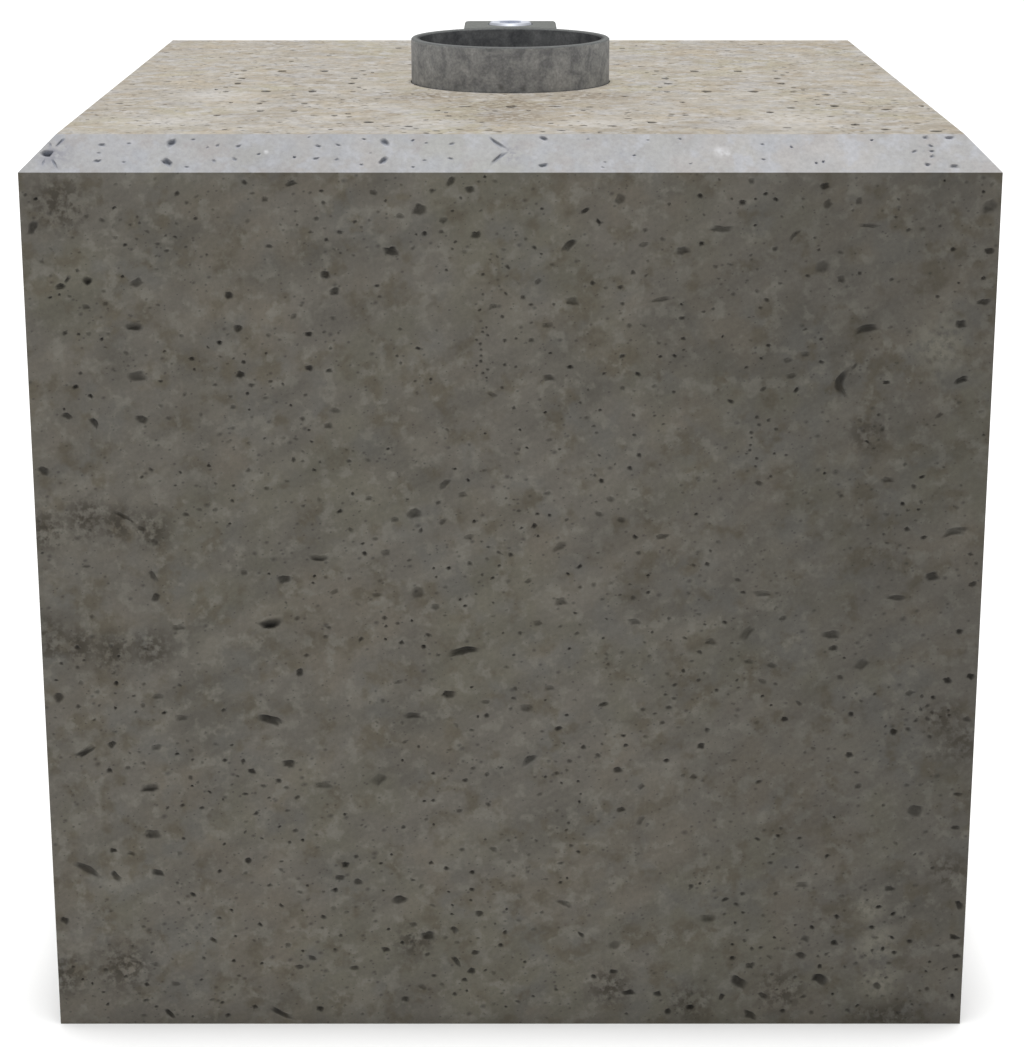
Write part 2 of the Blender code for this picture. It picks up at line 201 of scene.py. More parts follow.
# The air holes that show on the top. The same ring of holes lies to the left and to the right:
# how far each is from the ring's middle, across and along, its length and its width.
TOP_RINGS = [(-77.0, -1.5), (76.4, -2.2)]
RING_HOLES = [
    (8, 30.5, 3.6, 3.4), (20.3, 7.6, 3, 3), (22, 31.5, 2.4, 2.4), (23.5, 19, 1.9, 2), (26, 26, 1.6, 2),
]
# The others: across and along from the middle, length, width
TOP_HOLES = [
    (-45, 109, 2.6, 3), (-84, 61, 2, 2.6), (-71, 81, 2, 2.6), (-84, -66, 2.4, 2.8),
    (-69, -66, 2.4, 2.4), (-94, -63, 2, 2), (-82, -85, 2.6, 3.2), (-71, -85, 2.6, 2.8),
    (-95, -96, 2.6, 2.4), (-57, -96, 2.6, 2.4), (-53, -92, 2.4, 2), (-52, -99, 2.2, 2),
    (-45, -112, 3.6, 2.8), (-56, -129, 1.8, 1.6), (-89, -129, 1.8, 1.6), (-32, -122, 3.4, 1.8),
    (-24, -84, 2.2, 2), (-21, -89, 1.8, 1.6), (-20, -97, 2.4, 1.6), (-27, -107, 2, 1.6),
    (-23, -132, 2.8, 1.4), (-26, -137, 2.4, 1.4), (-9, -112, 2, 1.6), (-5, -85, 1.8, 1.8),
    (-15, -73, 5, 1.2), (45, 108, 2.8, 3.2), (102, 123, 2.4, 3), (58, -62, 2.2, 2.2),
    (93, -77, 3.2, 2.6), (85, -88, 3, 2.4), (108, -72, 3.6, 3.4), (109, -42, 3.4, 2.6),
    (116, -35, 2.4, 2.2), (124, -81, 3.8, 2.2), (52, -97, 2.4, 1.8), (52.5, -93, 2.4, 1.8),
    (57, -95, 2.8, 1.8), (45, -113, 3.4, 2.8), (32, -121, 3.6, 1.8), (109, -118, 3.4, 2.6),
    (117, -129, 3.4, 2.2), (132, -133, 4.6, 2.4), (137, -72, 2, 3), (24, -83, 2.2, 2),
    (20, -97, 2.6, 1.6), (13, -115, 2, 1.6), (23, -120, 3, 1.4), (6, -84, 1.8, 1.8),
    (10, -134, 2, 1.4), (103, -68, 2, 1.8), (15, -73, 5, 1.2),
]
# The bent hole in front of the sleeve: across, along, length, width, tilt, how far the ends bend
TOP_MARK = (0.0, -73.4, 3.6, 3.0, 0, 2.6)
# The low view makes these holes look short, so the lengths and widths read off are drawn at these shares
TOP_LENGTH_SHARE = 0.75
TOP_WIDTH_SHARE = 1.3

# Patches, in mm: across, along, up, radius. Dirt has dried on some, and in others the paste is paler.
FRONT_DIRT = [
    (-147, -150, 172, 12), (-134, -150, 176, 12), (-124, -150, 174, 11), (-113, -150, 172, 11),
    (-148, -150, 135, 13), (-138, -150, 133, 11), (-127, -150, 131, 12), (-115, -150, 132, 11),
    (-148, -150, 18, 14), (-128, -150, 21, 16), (-138, -150, 276, 15),
    (144, -150, 55, 12), (146, -150, 100, 12), (125, -150, 4, 18), (90, -150, 12, 14),
    (33, -150, 14, 12), (112, -150, 203, 10), (-32, -150, 30, 10), (60, -150, 8, 12), (140, -150, 108, 12),
]
FRONT_PALE = [
    (118, -150, 42, 9), (121, -150, 29, 11), (122, -150, 15, 12), (133, -150, 232, 14),
    (-93, -150, 12.5, 5), (-96, -150, 43.5, 1.4), (-66, -150, 43, 1.2), (-109, -150, 17, 1.6),
    (36, -150, 51, 2),
]
CHAMFER_DIRT = [(-140, -145, 291, 9), (0, -145, 291, 6)]
CHAMFER_PALE = [(-74.8, -144.5, 291.2, 1.2), (64.1, -144.5, 291.2, 3.2), (66.4, -144.7, 291.0, 1.8)]
# On the top: patches that make it darker round the front of the sleeve's foot
TOP_DARKER_NEAR_SLEEVE = [
    (0, -66, 296, 42), (-27, -46, 296, 22), (27, -46, 296, 22), (0, -100, 296, 26),
]
TOP_PALE = [
    (-10, -56, 296, 7), (10, -56, 296, 7), (-25, -115, 296, 18), (25, -115, 296, 18),
    (-110, -110, 296, 26), (-100, -45, 296, 24), (90, -105, 296, 30),
]
# On the sleeve: painted shade at the left and right ends inside the bore, and the short drips at the foot of
# the wall
BORE_END_SHADE = [(-33, -2.3, 308, 20), (33, -2.3, 308, 20)]
TUBE_DRIPS = [(-3.2, -37.8, 298, 1.8), (4.6, -37.5, 297.4, 2.2)]

# The air holes on the front chamfer, listed as those on the front; up is measured along its slope
CHAMFER_HOLES = [
    (-141.7, 7.2, 4.4, 2.6, 5, 0, 0.9), (-138.2, 11.2, 4.2, 0.9, 56, 0, 0.8),
    (-139.2, 3.3, 3.8, 0.9, -64, 0, 0.8), (-141, 10.5, 2.2, 0.7, 100, 0, 0.5),
    (-142.6, 3.7, 2.4, 0.7, 78, 0, 0.5), (-125.3, 10.4, 2.4, 1.2, -10, 0, 0.5),
    (-126, 7.3, 1.6, 0.8, 0, 0, 0.3), (-126.2, 4.3, 2.4, 1.2, 10, 0, 0.5),
    (-117, 10.9, 1.5, 0.9, 10, 0, 0.3), (-118, 3.8, 1.5, 0.9, -10, 0, 0.3), (-104, 11, 3.4, 2, 50, 0, 0.9),
    (-104.8, 3.8, 3.4, 2, -50, 0, 1), (-97.4, 12.4, 1.6, 0.9, 5, 0, 0.4), (-98.7, 2, 1.6, 0.9, -5, 0, 0.4),
    (-89.8, 10.1, 1.6, 1.1, 40, 0, 0.4), (-90.6, 4.3, 1.6, 1.1, -40, 0, 0.4),
    (-83.4, 9.9, 2.1, 1.1, 25, 0, 0.5), (-84.2, 4.9, 2.1, 1.1, -25, 0, 0.5),
    (-58.9, 9.9, 2.1, 1.1, -15, 0, 0.5), (-59.4, 5.2, 2.1, 1.1, 15, 0, 0.5),
    (-52.8, 10.3, 1.7, 1, -20, 0, 0.4), (-53.1, 4.8, 1.7, 1, 20, 0, 0.4),
    (-38.4, 11.2, 3.2, 1.8, -52, 0, 0.9), (-39, 4.4, 3.2, 1.8, 52, 0, 0.9),
    (-45, 12.6, 1.4, 0.9, 0, 0, 0.4), (-45.4, 2.9, 1.4, 0.9, 0, 0, 0.4), (-25.8, 11.1, 1.4, 0.9, 0, 0, 0.3),
    (-26.3, 4.5, 1.4, 0.9, 0, 0, 0.3), (-17.9, 10.8, 2.1, 1, 15, 0, 0.5), (-18.3, 5.2, 2.1, 1, -15, 0, 0.5),
    (-3.9, 10.9, 6.6, 1.3, -42, 0.35, 0.7), (-3.9, 5.2, 6.6, 1.3, 46, -0.35, 0.7),
    (1.6, 8.2, 3.6, 1, 0, 0, 0.4), (10.3, 12.8, 2.6, 1.5, -15, 0, 0.7), (10, 2.6, 2.6, 1.5, 15, 0, 0.7),
    (77.3, 10.6, 1.5, 0.9, 0, 0, 0.4), (77.3, 4.9, 1.5, 0.9, 0, 0, 0.4), (123.7, 7.9, 1.9, 1.1, 20, 0, 0.5),
    (128.9, 10, 1.8, 1, -20, 0, 0.6), (129, 8, 1.8, 1, 0, 0, 0.6), (128.9, 6, 1.8, 1, 20, 0, 0.6),
    (127.4, 13.1, 1.9, 1.4, 0, 0, 0.5), (127.2, 2.9, 1.9, 1.4, 0, 0, 0.6), (134.8, 13, 2.8, 1.5, 0, 0, 0.5),
    (135.4, 2.3, 2.8, 1.6, 0, 0, 0.5),
]

# How a bowl goes down from the collar round it: share of the outline, share of the depth, share of the
# painted shade
LARGE_BOWL = [(0.80, 0.10, 0.30), (0.58, 0.55, 0.80), (0.34, 0.92, 1.0)]
SMALL_BOWL = [(0.68, 0.20, 0.4), (0.38, 0.85, 0.95)]
# How far the deepest point lies towards the side with the darker painted shade, as a share of half the width
LEAN = 0.3
# How blunt the ends of a long hole are: 0 would give an ellipse, 1 a box
BLUNT_ENDS = 0.33
# How uneven the outlines are, and how much room that takes
UNEVEN = 0.5
SWELL = 1.25
# The edge of a hole is broken, so it is wider at the face than the size read off
COLLAR = 1.36

# The squares in which a hole's neighbours are looked for
CELL = 14 * MM
# A listed hole too near an edge shrinks in such steps
SHRINK = 0.85
# How often a try gives a hole: on the front, elsewhere, and more so towards the middle of a porous place
FRONT_SHARE = 0.28
USUAL_SHARE = 0.5
POROUS_GAIN = 1.2
TRIES_PER_HOLE = 40


class Face(NamedTuple):
    """The marks of one kind of flat face: how many air holes, the largest by chance in mm, how faint those
    by chance are, how much the painted shade fades on the lit side of a listed one, and the place of its
    finish in the list.
    """
    holes: int
    largest: float
    faintness: float
    listed_fade: float
    finish: int


FACES = {
    "front": Face(1200, 1.6, 1.8, 0.8, 0),
    "side": Face(430, 5.0, 1.8, 0.8, 0),
    "underside": Face(90, 5.0, 1.8, 0.8, 0),
    "front chamfer": Face(62, 1.0, 1.8, 0.8, 1),
    "chamfer": Face(46, 2.0, 1.8, 0.8, 1),
    "top": Face(780, 2.0, 0.7, 0.1, 2),
}
# A low view over the top sees a hole's far wall only near its rim, so the painted shade in the top's holes is
# made stronger by this, to start dark there
TOP_SHADE = 1.8


def linear(hex_colour):
    """An sRGB colour, written as six hexadecimal digits, as the linear colour that a shader takes."""
    parts = [int(hex_colour[i:i + 2], 16) / 255 for i in (0, 2, 4)]
    parts = [p / 12.92 if p <= 0.04045 else ((p + 0.055) / 1.055) ** 2.4 for p in parts]
    return (*parts, 1.0)


def start_material(name):
    """A new material, and its surface shader."""
    material = bpy.data.materials.new(name)
    material.use_nodes = True
    return material, material.node_tree.nodes["Principled BSDF"]


def add(material, kind, inputs=None, **settings):
    """Adds one node. Inputs are values, or other nodes' outputs to link."""
    tree = material.node_tree
    node = tree.nodes.new("ShaderNode" + kind)
    for name, value in settings.items():
        setattr(node, name, value)
    for name, value in (inputs or {}).items():
        if isinstance(value, bpy.types.NodeSocket):
            tree.links.new(value, node.inputs[name])
        else:
            node.inputs[name].default_value = value
    return node


# The sockets of a Mix node that mixes colours
FACTOR, COLOUR_A, COLOUR_B, MIXED = 0, 6, 7, 2


class Hole(NamedTuple):
    """One air hole in a flat face, in metres and radians."""
    across: float
    up: float
    length: float
    width: float
    tilt: float
    bend: float
    depth: float
    shade: float
    fade: float
    dark_side: int
    corners: int
    seed: float

    def turns(self):
        """The angles of the outline's corners, none of them on an end of the hole."""
        return [2 * math.pi * (step + 0.25) / self.corners for step in range(self.corners)]

    def point(self, turn, share):
        """A point on the hole's outline, or on the same outline shrunk and moved towards its deepest part."""
        uneven = UNEVEN * noise.noise(Vector((1.2 * math.cos(turn), 1.2 * math.sin(turn), self.seed)))
        x = share * (1 + uneven) * self.length / 2 * math.cos(turn)
        y = share * (1 + uneven) * self.width / 2 * math.sin(turn) * abs(math.sin(turn)) ** -BLUNT_ENDS
        y += self.bend * ((2 * x / self.length) ** 2 - 0.4)
        along, over = math.cos(self.tilt), math.sin(self.tilt)
        lean = self.dark_side * LEAN * (1 - share) * self.width / 2
        return self.across + x * along - y * over, self.up + x * over + y * along + lean

    def shade_at(self, up):
        """Painted shade in a hole: darkest on the side that would be in its own shade, mostly the upper one,
        and fading on the side that would catch light.
        """
        half = math.hypot(self.length * math.sin(self.tilt), self.width * math.cos(self.tilt)) / 2
        side = min(max(1.6 * self.dark_side * (up - self.up) / half, -1), 1)
        return self.shade * (1 - self.fade * (1 - side) / 2)

    def reach(self):
        """How far from its middle the hole's outline comes."""
        return max(self.length, self.width) / 2 * SWELL + abs(self.bend) * 0.6

    def outline(self):
        return [Vector(self.point(turn, 1)) for turn in self.turns()]


def name_of(out):
    """What kind of flat face of the block looks this way."""
    if out.z > 0.99:
        return "top"
    if out.z > 0.5:
        return "front chamfer" if out.y < -0.5 else "chamfer"
    if out.z < -0.5:
        return "underside"
    return "front" if out.y < -0.5 else "side"


class Flat:
    """One flat outer face of the block: its mesh faces, and axes to draw on it."""

    def __init__(self, faces):
        self.faces = faces
        self.out = faces[0].normal.copy()
        self.name = name_of(self.out)
        self.origin = self.out * self.out.dot(faces[0].verts[0].co)
        level = abs(self.out.z) > 0.99
        self.across = Vector((1, 0, 0)) if level else Vector((0, 0, 1)).cross(self.out).normalized()
        self.up = self.out.cross(self.across)
        inside = set(faces)
        edges = {e for f in faces for e in f.edges}
        self.border = [e for e in edges if len(inside.intersection(e.link_faces)) == 1]
        corners = [self.drawn(v.co) for e in self.border for v in e.verts]
        self.low = Vector((min(c.x for c in corners), min(c.y for c in corners)))

    def drawn(self, point):
        """A point in space as across and up on this face."""
        point = point - self.origin
        return Vector((point.dot(self.across), point.dot(self.up)))

    def placed(self, across, up, depth=0.0):
        """The point in space that is across and up on this face, and so deep below it."""
        return self.origin + self.across * across + self.up * up - self.out * depth


class Ground:
    """Where air holes may go on one flat face: inside it and clear of its borders."""

    def __init__(self, flat):
        self.triangles = [[flat.drawn(v.co) for v in f.verts] for f in flat.faces]
        self.borders = [[flat.drawn(v.co) for v in e.verts] for e in flat.border]

    def has_room(self, spot, reach):
        if not any(intersect_point_tri_2d(spot, *triangle) for triangle in self.triangles):
            return False
        for start, end in self.borders:
            share = intersect_point_line(spot, start, end)[1]
            if (start.lerp(end, min(max(share, 0), 1)) - spot).length < reach:
                return False
        return True


def outer_flats(shape):
    """The block's outer flat faces: the sides, chamfers, top and underside, without its hollows."""
    groups = {}
    for face in shape.faces:
        offset = face.normal.dot(face.verts[0].co)
        key = (*[round(part, 3) for part in face.normal], round(offset, 5))
        groups.setdefault(key, []).append(face)
    flats = []
    for faces in groups.values():
        out = faces[0].normal
        reach = max(out.dot(vert.co) for vert in shape.verts)
        if reach - out.dot(faces[0].verts[0].co) < 1e-5:
            flats.append(Flat(faces))
    return flats


def loops_of(edges):
    """Chains boundary edges into closed loops of vertices."""
    left = set(edges)
    loops = []
    while left:
        edge = left.pop()
        loop = [edge.verts[0], edge.verts[1]]
        while True:
            onward = [e for e in loop[-1].link_edges if e in left]
            if not onward:
                break
            left.discard(onward[0])
            loop.append(onward[0].other_vert(loop[-1]))
        loops.append(loop[:-1] if loop[0] is loop[-1] else loop)
    return loops


def turns_left(flat, loop):
    """Whether a loop runs counter-clockwise, seen from outside the block."""
    drawn = [flat.drawn(v.co) for v in loop]
    return sum(a.cross(b) for a, b in zip(drawn, drawn[1:] + drawn[:1])) > 0


def sink_hole(shape, flat, rim, hole, hollow):
    """Sinks one air hole below its collar, in rings that close on its deepest point."""
    finish = FACES[flat.name].finish
    ring = rim
    for share, drop, shade in (LARGE_BOWL if len(rim) > 9 else SMALL_BOWL):
        deeper = []
        for turn in hole.turns():
            across, up = hole.point(turn, share)
            vert = shape.verts.new(flat.placed(across, up, hole.depth * drop))
            # The hollow attribute carries the painted shade that darkens the hole's colour
            vert[hollow] = hole.shade_at(up) * shade
            deeper.append(vert)
        for step in range(len(rim)):
            after = (step + 1) % len(rim)
            wall = shape.faces.new((ring[step], ring[after], deeper[after], deeper[step]))
            wall.smooth = True
            wall.material_index = finish
        ring = deeper
    across, up = hole.point(math.pi / 2, 0)
    bottom = shape.verts.new(flat.placed(across, up, hole.depth))
    bottom[hollow] = hole.shade_at(up)
    for step in range(len(rim)):
        floor = shape.faces.new((ring[step], ring[(step + 1) % len(rim)], bottom))
        floor.smooth = True
        floor.material_index = finish


def resurface(shape, flat, holes, hollow):
    """Makes one flat face anew with its air holes sunk in it. Its borders stay as they were."""
    loops = loops_of(flat.border)
    outer = max(loops, key=lambda loop: max(flat.drawn(v.co).length for v in loop))
    bmesh.ops.delete(shape, geom=flat.faces, context="FACES_KEEP_BOUNDARY")

    verts = [v for loop in loops for v in loop]
    number = {v: i for i, v in enumerate(verts)}
    edges = []
    openings = []
    for loop in loops:
        ids = [number[v] for v in loop]
        edges += list(zip(ids, ids[1:] + ids[:1]))
        if loop is not outer:
            openings.append(ids if turns_left(flat, loop) else ids[::-1])
    rims = []
    for hole in holes:
        rim = [shape.verts.new(flat.placed(*point)) for point in hole.outline()]
        openings.append(list(range(len(verts), len(verts) + len(rim))))
        verts += rim
        rims.append(rim)

    points = [flat.drawn(v.co) for v in verts]
    found = delaunay_2d_cdt(points, edges, openings, 0, 1e-7)
    origins = [verts[came_from[0]] for came_from in found[3]]
    for corners, inside_of in zip(found[2], found[5]):
        if not inside_of:
            face = shape.faces.new([origins[i] for i in corners])
            face.material_index = FACES[flat.name].finish
    for rim, hole in zip(rims, holes):
        sink_hole(shape, flat, rim, hole, hollow)


def make_hole(chance, across, up, length, width, tilt, bend, share, fade=0.8):
    """One air hole from sizes in mm and a tilt in degrees. Chance gives its uneven outline."""
    return Hole(
        across * MM, up * MM, length * COLLAR * MM, width * COLLAR * MM, math.radians(tilt), bend * MM,
        depth=width * MM * (0.25 + 0.4 * abs(share)),
        # The share sets the painted shade in the hole as well as its depth
        shade=0.15 + 0.85 * abs(share),
        fade=0.3 if length < 2.6 else fade,
        dark_side=1 if share > 0 else -1,
        corners=7 if length < 2.2 else 12 if length < 3.6 else 20,
        seed=chance.uniform(0, 99),
    )


def scatter(flat, chance, listed):
    """The listed air holes, and small ones between them in drifts and porous places, all apart."""
    face = FACES[flat.name]
    ground = Ground(flat)
    cells = {}
    holes = []
    for hole in listed:
        while not all(ground.has_room(corner, EDGE_MARGIN * MM) for corner in hole.outline()):
            hole = hole._replace(
                length=SHRINK * hole.length, width=SHRINK * hole.width, bend=SHRINK * hole.bend,
            )
        if not any(cross(hole, other) for other in holes):
            remember(cells, hole)
            holes.append(hole)

    corners = [corner for triangle in ground.triangles for corner in triangle]
    low = flat.low / MM
    high = Vector((max(c.x for c in corners), max(c.y for c in corners))) / MM
    porous = POROUS if flat.name == "front" else []
    usual = FRONT_SHARE if porous else USUAL_SHARE
    drift_start = Vector((chance.uniform(0, 900), chance.uniform(0, 900), 0))
    tries = 0
    while len(holes) < face.holes and tries < face.holes * TRIES_PER_HOLE:
        tries += 1
        across, up = chance.uniform(low.x, high.x), chance.uniform(low.y, high.y)
        drift = noise.noise(Vector((across, up, 0)) / DRIFT_SIZE + drift_start)
        zone = max((1 - math.hypot(across - x, up - y) / radius for x, y, radius in porous), default=0)
        if chance.random() > usual + drift + POROUS_GAIN * max(zone, 0):
            continue
        hole = chance_hole(chance, across, up, face)
        if not ground.has_room(Vector((hole.across, hole.up)), hole.reach() + EDGE_MARGIN * MM):
            continue
        if crowded(cells, hole):
            continue
        remember(cells, hole)
        holes.append(hole)
    return holes


def chance_hole(chance, across, up, face):
    """A small air hole with its size, shape and depth left to chance, mostly lying a little aslant."""
    size = min(SMALLEST_HOLE + chance.expovariate(1 / TYPICAL_EXTRA), face.largest)
    stretch = chance.uniform(1.0, 1.9)
    tilt = chance.choice((8, 8, 25, 155)) + chance.gauss(0, 14)
    length, width = size * stretch ** 0.5, size / stretch ** 0.5
    bend = chance.uniform(-0.12, 0.12) * length if stretch > 1.5 else 0.0
    share = chance.uniform(0.1, 1.0) ** face.faintness
    return make_hole(chance, across, up, length, width, tilt, bend, share)


def remember(cells, hole):
    """Notes a hole in the search grid."""
    cells.setdefault((int(hole.across // CELL), int(hole.up // CELL)), []).append(hole)


def cross(hole, other):
    """Whether the outlines of two holes run through each other."""
    if math.hypot(other.across - hole.across, other.up - hole.up) > other.reach() + hole.reach():
        return False
    ours, theirs = hole.outline(), other.outline()
    return any(
        intersect_line_line_2d(ours[i - 1], ours[i], theirs[j - 1], theirs[j])
        for i in range(len(ours))
        for j in range(len(theirs))
    )


def crowded(cells, hole):
    """Whether a hole would come too near another."""
    column, row = int(hole.across // CELL), int(hole.up // CELL)
    for dx in (-1, 0, 1):
        for dy in (-1, 0, 1):
            for other in cells.get((column + dx, row + dy), ()):
                apart = math.hypot(other.across - hole.across, other.up - hole.up)
                if apart < other.reach() + hole.reach() + HOLE_GAP * MM:
                    return True
    return False


def front_rows():
    """All the air holes listed for the front, as rows of the same kind."""
    rows = FRONT_HOLES.copy()
    rows += [(*row, 0.0, 0.8) for row in FRONT_DARK_HOLES]
    rows += [(*row, 0.0, 0.3) for row in FRONT_FAINT_HOLES]
    rows += [(across, up, width, width * 0.8, 0, 0.0, 0.45) for across, up, width in FRONT_PORES]
    return rows


def top_rows():
    """All the air holes listed for the top, as rows of the same kind."""
    places = TOP_HOLES.copy()
    for middle, centre in TOP_RINGS:
        for across, along, length, width in RING_HOLES:
            for right in (-1, 1):
                for back in (-1, 1):
                    places.append((middle + right * across, centre + back * along, length, width))
    rows = [(*TOP_MARK, 1.0)]
    for across, along, length, width in places:
        rows.append((across, along, TOP_LENGTH_SHARE * length, TOP_WIDTH_SHARE * width, 0, 0.0, 1.0))
    return rows


def make_block_skin():
    """The cast block as it came out of its form, with its air holes."""
    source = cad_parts["concrete_block"]
    shape = bmesh.new()
    shape.from_mesh(source.data)
    shape.transform(source.matrix_world)
    bmesh.ops.remove_doubles(shape, verts=shape.verts, dist=1e-6)
    bmesh.ops.triangulate(shape, faces=shape.faces)
    shape.normal_update()
    # Each vertex of a hole's bowl keeps here how much painted shade darkens it
    hollow = shape.verts.layers.float.new("hollow")

    chance = random.Random(8)
    listed_rows = {"front": front_rows(), "front chamfer": CHAMFER_HOLES, "top": top_rows()}
    for flat in outer_flats(shape):
        rows = listed_rows.get(flat.name, [])
        foot = flat.low.y / MM if flat.name == "front chamfer" else 0.0
        fade = FACES[flat.name].listed_fade
        listed = [make_hole(chance, across, foot + up, *rest, fade) for across, up, *rest in rows]
        holes = scatter(flat, chance, listed)
        if flat.name == "top":
            # The top's holes get stronger painted shade
            holes = [hole._replace(shade=TOP_SHADE * hole.shade) for hole in holes]
        resurface(shape, flat, holes, hollow)
    shape.normal_update()

    mesh = bpy.data.meshes.new("cast_block")
    shape.to_mesh(mesh)
    shape.free()
    skin = bpy.data.objects.new("cast_block", mesh)
    bpy.context.scene.collection.objects.link(skin)
    return skin


def patches(material, place, spots):
    """How far inside the nearest of a few round patches a point is: 1 at its middle, 0 at its edge."""
    inside = 0.0
    for *centre, radius in spots:
        away = add(
            material, "VectorMath", {0: place, 1: [part * MM for part in centre]},
            operation="DISTANCE",
        )
        patch = add(
            material, "MapRange",
            {"Value": away.outputs["Value"], "From Max": radius * MM, "To Min": 1.0, "To Max": 0.0},
            interpolation_type="SMOOTHSTEP",
        )
        inside = add(material, "Math", {0: inside, 1: patch.outputs[0]}, operation="MAXIMUM").outputs[0]
    return inside


# The tones that drift over the paste in clouds: size in mm, the noise where each starts and is full,
# its largest share, and the noise's detail
CLOUDS = [
    ("dark", 34, 0.44, 0.70, 0.75, 2.0),
    ("light", 22, 0.50, 0.70, 0.6, 2.0),
    ("warm", 27, 0.48, 0.66, 0.75, 2.0),
    ("olive", 41, 0.50, 0.66, 0.8, 2.0),
    ("cool", 18, 0.52, 0.68, 0.75, 2.0),
    ("brown", 9, 0.50, 0.68, 0.85, 3.0),
    ("ash", 6, 0.50, 0.66, 0.85, 3.0),
]


def drifting_paste(material, place, tones):
    """The colour of the cement paste, which dries in clouds of warmer, cooler, darker and lighter grey."""
    colour = linear(tones["paste"])
    for tone, size, low, high, most, detail in CLOUDS:
        moved = add(material, "Mapping", {0: place, "Location": (size * 0.37, size * 0.11, size * 0.53)})
        cloud = add(
            material, "TexNoise",
            {"Vector": moved.outputs[0], "Scale": 1 / (size * MM), "Detail": detail, "Roughness": 0.6},
        )
        share = add(
            material, "MapRange",
            {"Value": cloud.outputs["Fac"], "From Min": low, "From Max": high, "To Max": most},
            interpolation_type="SMOOTHSTEP",
        )
        mixed = add(
            material, "Mix",
            {FACTOR: share.outputs[0], COLOUR_A: colour, COLOUR_B: linear(tones[tone])},
            data_type="RGBA",
        )
        colour = mixed.outputs[MIXED]
    return colour


def worked(material, on_face, x, sand, tones, colour):
    """Darker and lighter trails where the paste was worked, lying aslant, and the grain of the sand in it."""
    turned = add(
        material, "Mapping", {0: on_face, "Rotation": (0, 0, math.radians(30)), "Scale": (1, 0.33, 1)},
        vector_type="TEXTURE",
    )
    trail = add(
        material, "TexNoise",
        {"Vector": turned.outputs[0], "Scale": 1 / (32 * MM), "Detail": 5.0, "Roughness": 0.66},
    )
    brightness = 1.0
    for texture, strength in ((trail, tones["trails"]), (sand, tones["grain"])):
        swing = add(
            material, "MapRange",
            {
                "Value": texture.outputs["Fac"], "From Min": 0.3, "From Max": 0.7,
                "To Min": 1 - strength, "To Max": 1 + strength,
            },
        )
        product = add(material, "Math", {0: brightness, 1: swing.outputs[0]}, operation="MULTIPLY")
        brightness = product.outputs[0]
    # Scaled from left to right across the block: on the form-cast sides this is painted shade, darker towards
    # the right; the chamfer is made darker towards the left
    side_to_side = add(
        material, "MapRange",
        {
            "Value": x, "From Min": tones["fades_from"] * MM, "From Max": 120 * MM,
            "To Min": tones["left"], "To Max": tones["right"],
        },
        interpolation_type="SMOOTHSTEP",
    )
    product = add(material, "Math", {0: brightness, 1: side_to_side.outputs[0]}, operation="MULTIPLY")
    lit = add(
        material, "Mix",
        {FACTOR: 1.0, COLOUR_A: colour, COLOUR_B: product.outputs[0]},
        data_type="RGBA", blend_type="MULTIPLY",
    )
    return lit.outputs[MIXED]


def smudged(material, place, tones, colour):
    """Brown smudges in clumps of some 2.6 mm in the listed dark patches, and patches of paler paste. On the
    sides and chamfer the dark ones are dried-on stains; on the top they darken it in front of the sleeve.
    """
    clumps = add(
        material, "TexNoise", {"Vector": place, "Scale": 1 / (2.6 * MM), "Detail": 2.0, "Roughness": 0.65},
    )
    for spots, tone, low, high in (
        (tones["dark_marks"], tones["dark_mark_tone"], 0.40, 0.58),
        (tones["pale"], tones["paler"], 0.32, 0.6),
    ):
        clump = add(material, "MapRange", {"Value": clumps.outputs["Fac"], "From Min": low, "From Max": high})
        smudge = add(
            material, "Math", {0: patches(material, place, spots), 1: clump.outputs[0]},
            operation="MULTIPLY",
        )
        lit = add(
            material, "Mix",
            {FACTOR: smudge.outputs[0], COLOUR_A: colour, COLOUR_B: linear(tone)},
            data_type="RGBA",
        )
        colour = lit.outputs[MIXED]
    return colour


def pin_holes(material, place, on_face, darkest):
    """How dark a place is from the painted shade of pin holes of about a millimetre, drawn only in colour,
    thick in some places and scarce in others.
    """
    drawn_out = add(
        material, "Mapping", {0: on_face, "Rotation": (0, 0, math.radians(14)), "Scale": (1.35, 1, 1)},
        vector_type="TEXTURE",
    )
    gathered = add(
        material, "TexNoise", {"Vector": place, "Scale": 1 / (11 * MM), "Detail": 2.0, "Roughness": 0.6},
    )
    thick = add(
        material, "MapRange",
        {"Value": gathered.outputs["Fac"], "From Min": 0.42, "From Max": 0.66, "To Min": 0.35},
    )
    spots = []
    for apart in (3.9, 2.1):
        pins = add(
            material, "TexVoronoi", {"Vector": drawn_out.outputs[0], "Scale": 1 / (apart * MM)},
            voronoi_dimensions="2D",
        )
        pick = add(material, "SeparateColor", {0: pins.outputs["Color"]})
        widest = add(
            material, "MapRange",
            {"Value": pick.outputs[0], "From Min": 0.5, "To Max": 0.30},
        )
        radius = add(material, "Math", {0: widest.outputs[0], 1: thick.outputs[0]}, operation="MULTIPLY")
        spot = add(
            material, "MapRange",
            {
                "Value": pins.outputs["Distance"], "From Max": radius.outputs[0],
                "To Min": darkest, "To Max": 0.0,
            },
        )
        spots.append(spot.outputs[0])
    return add(material, "Math", {0: spots[0], 1: spots[1]}, operation="MAXIMUM").outputs[0]


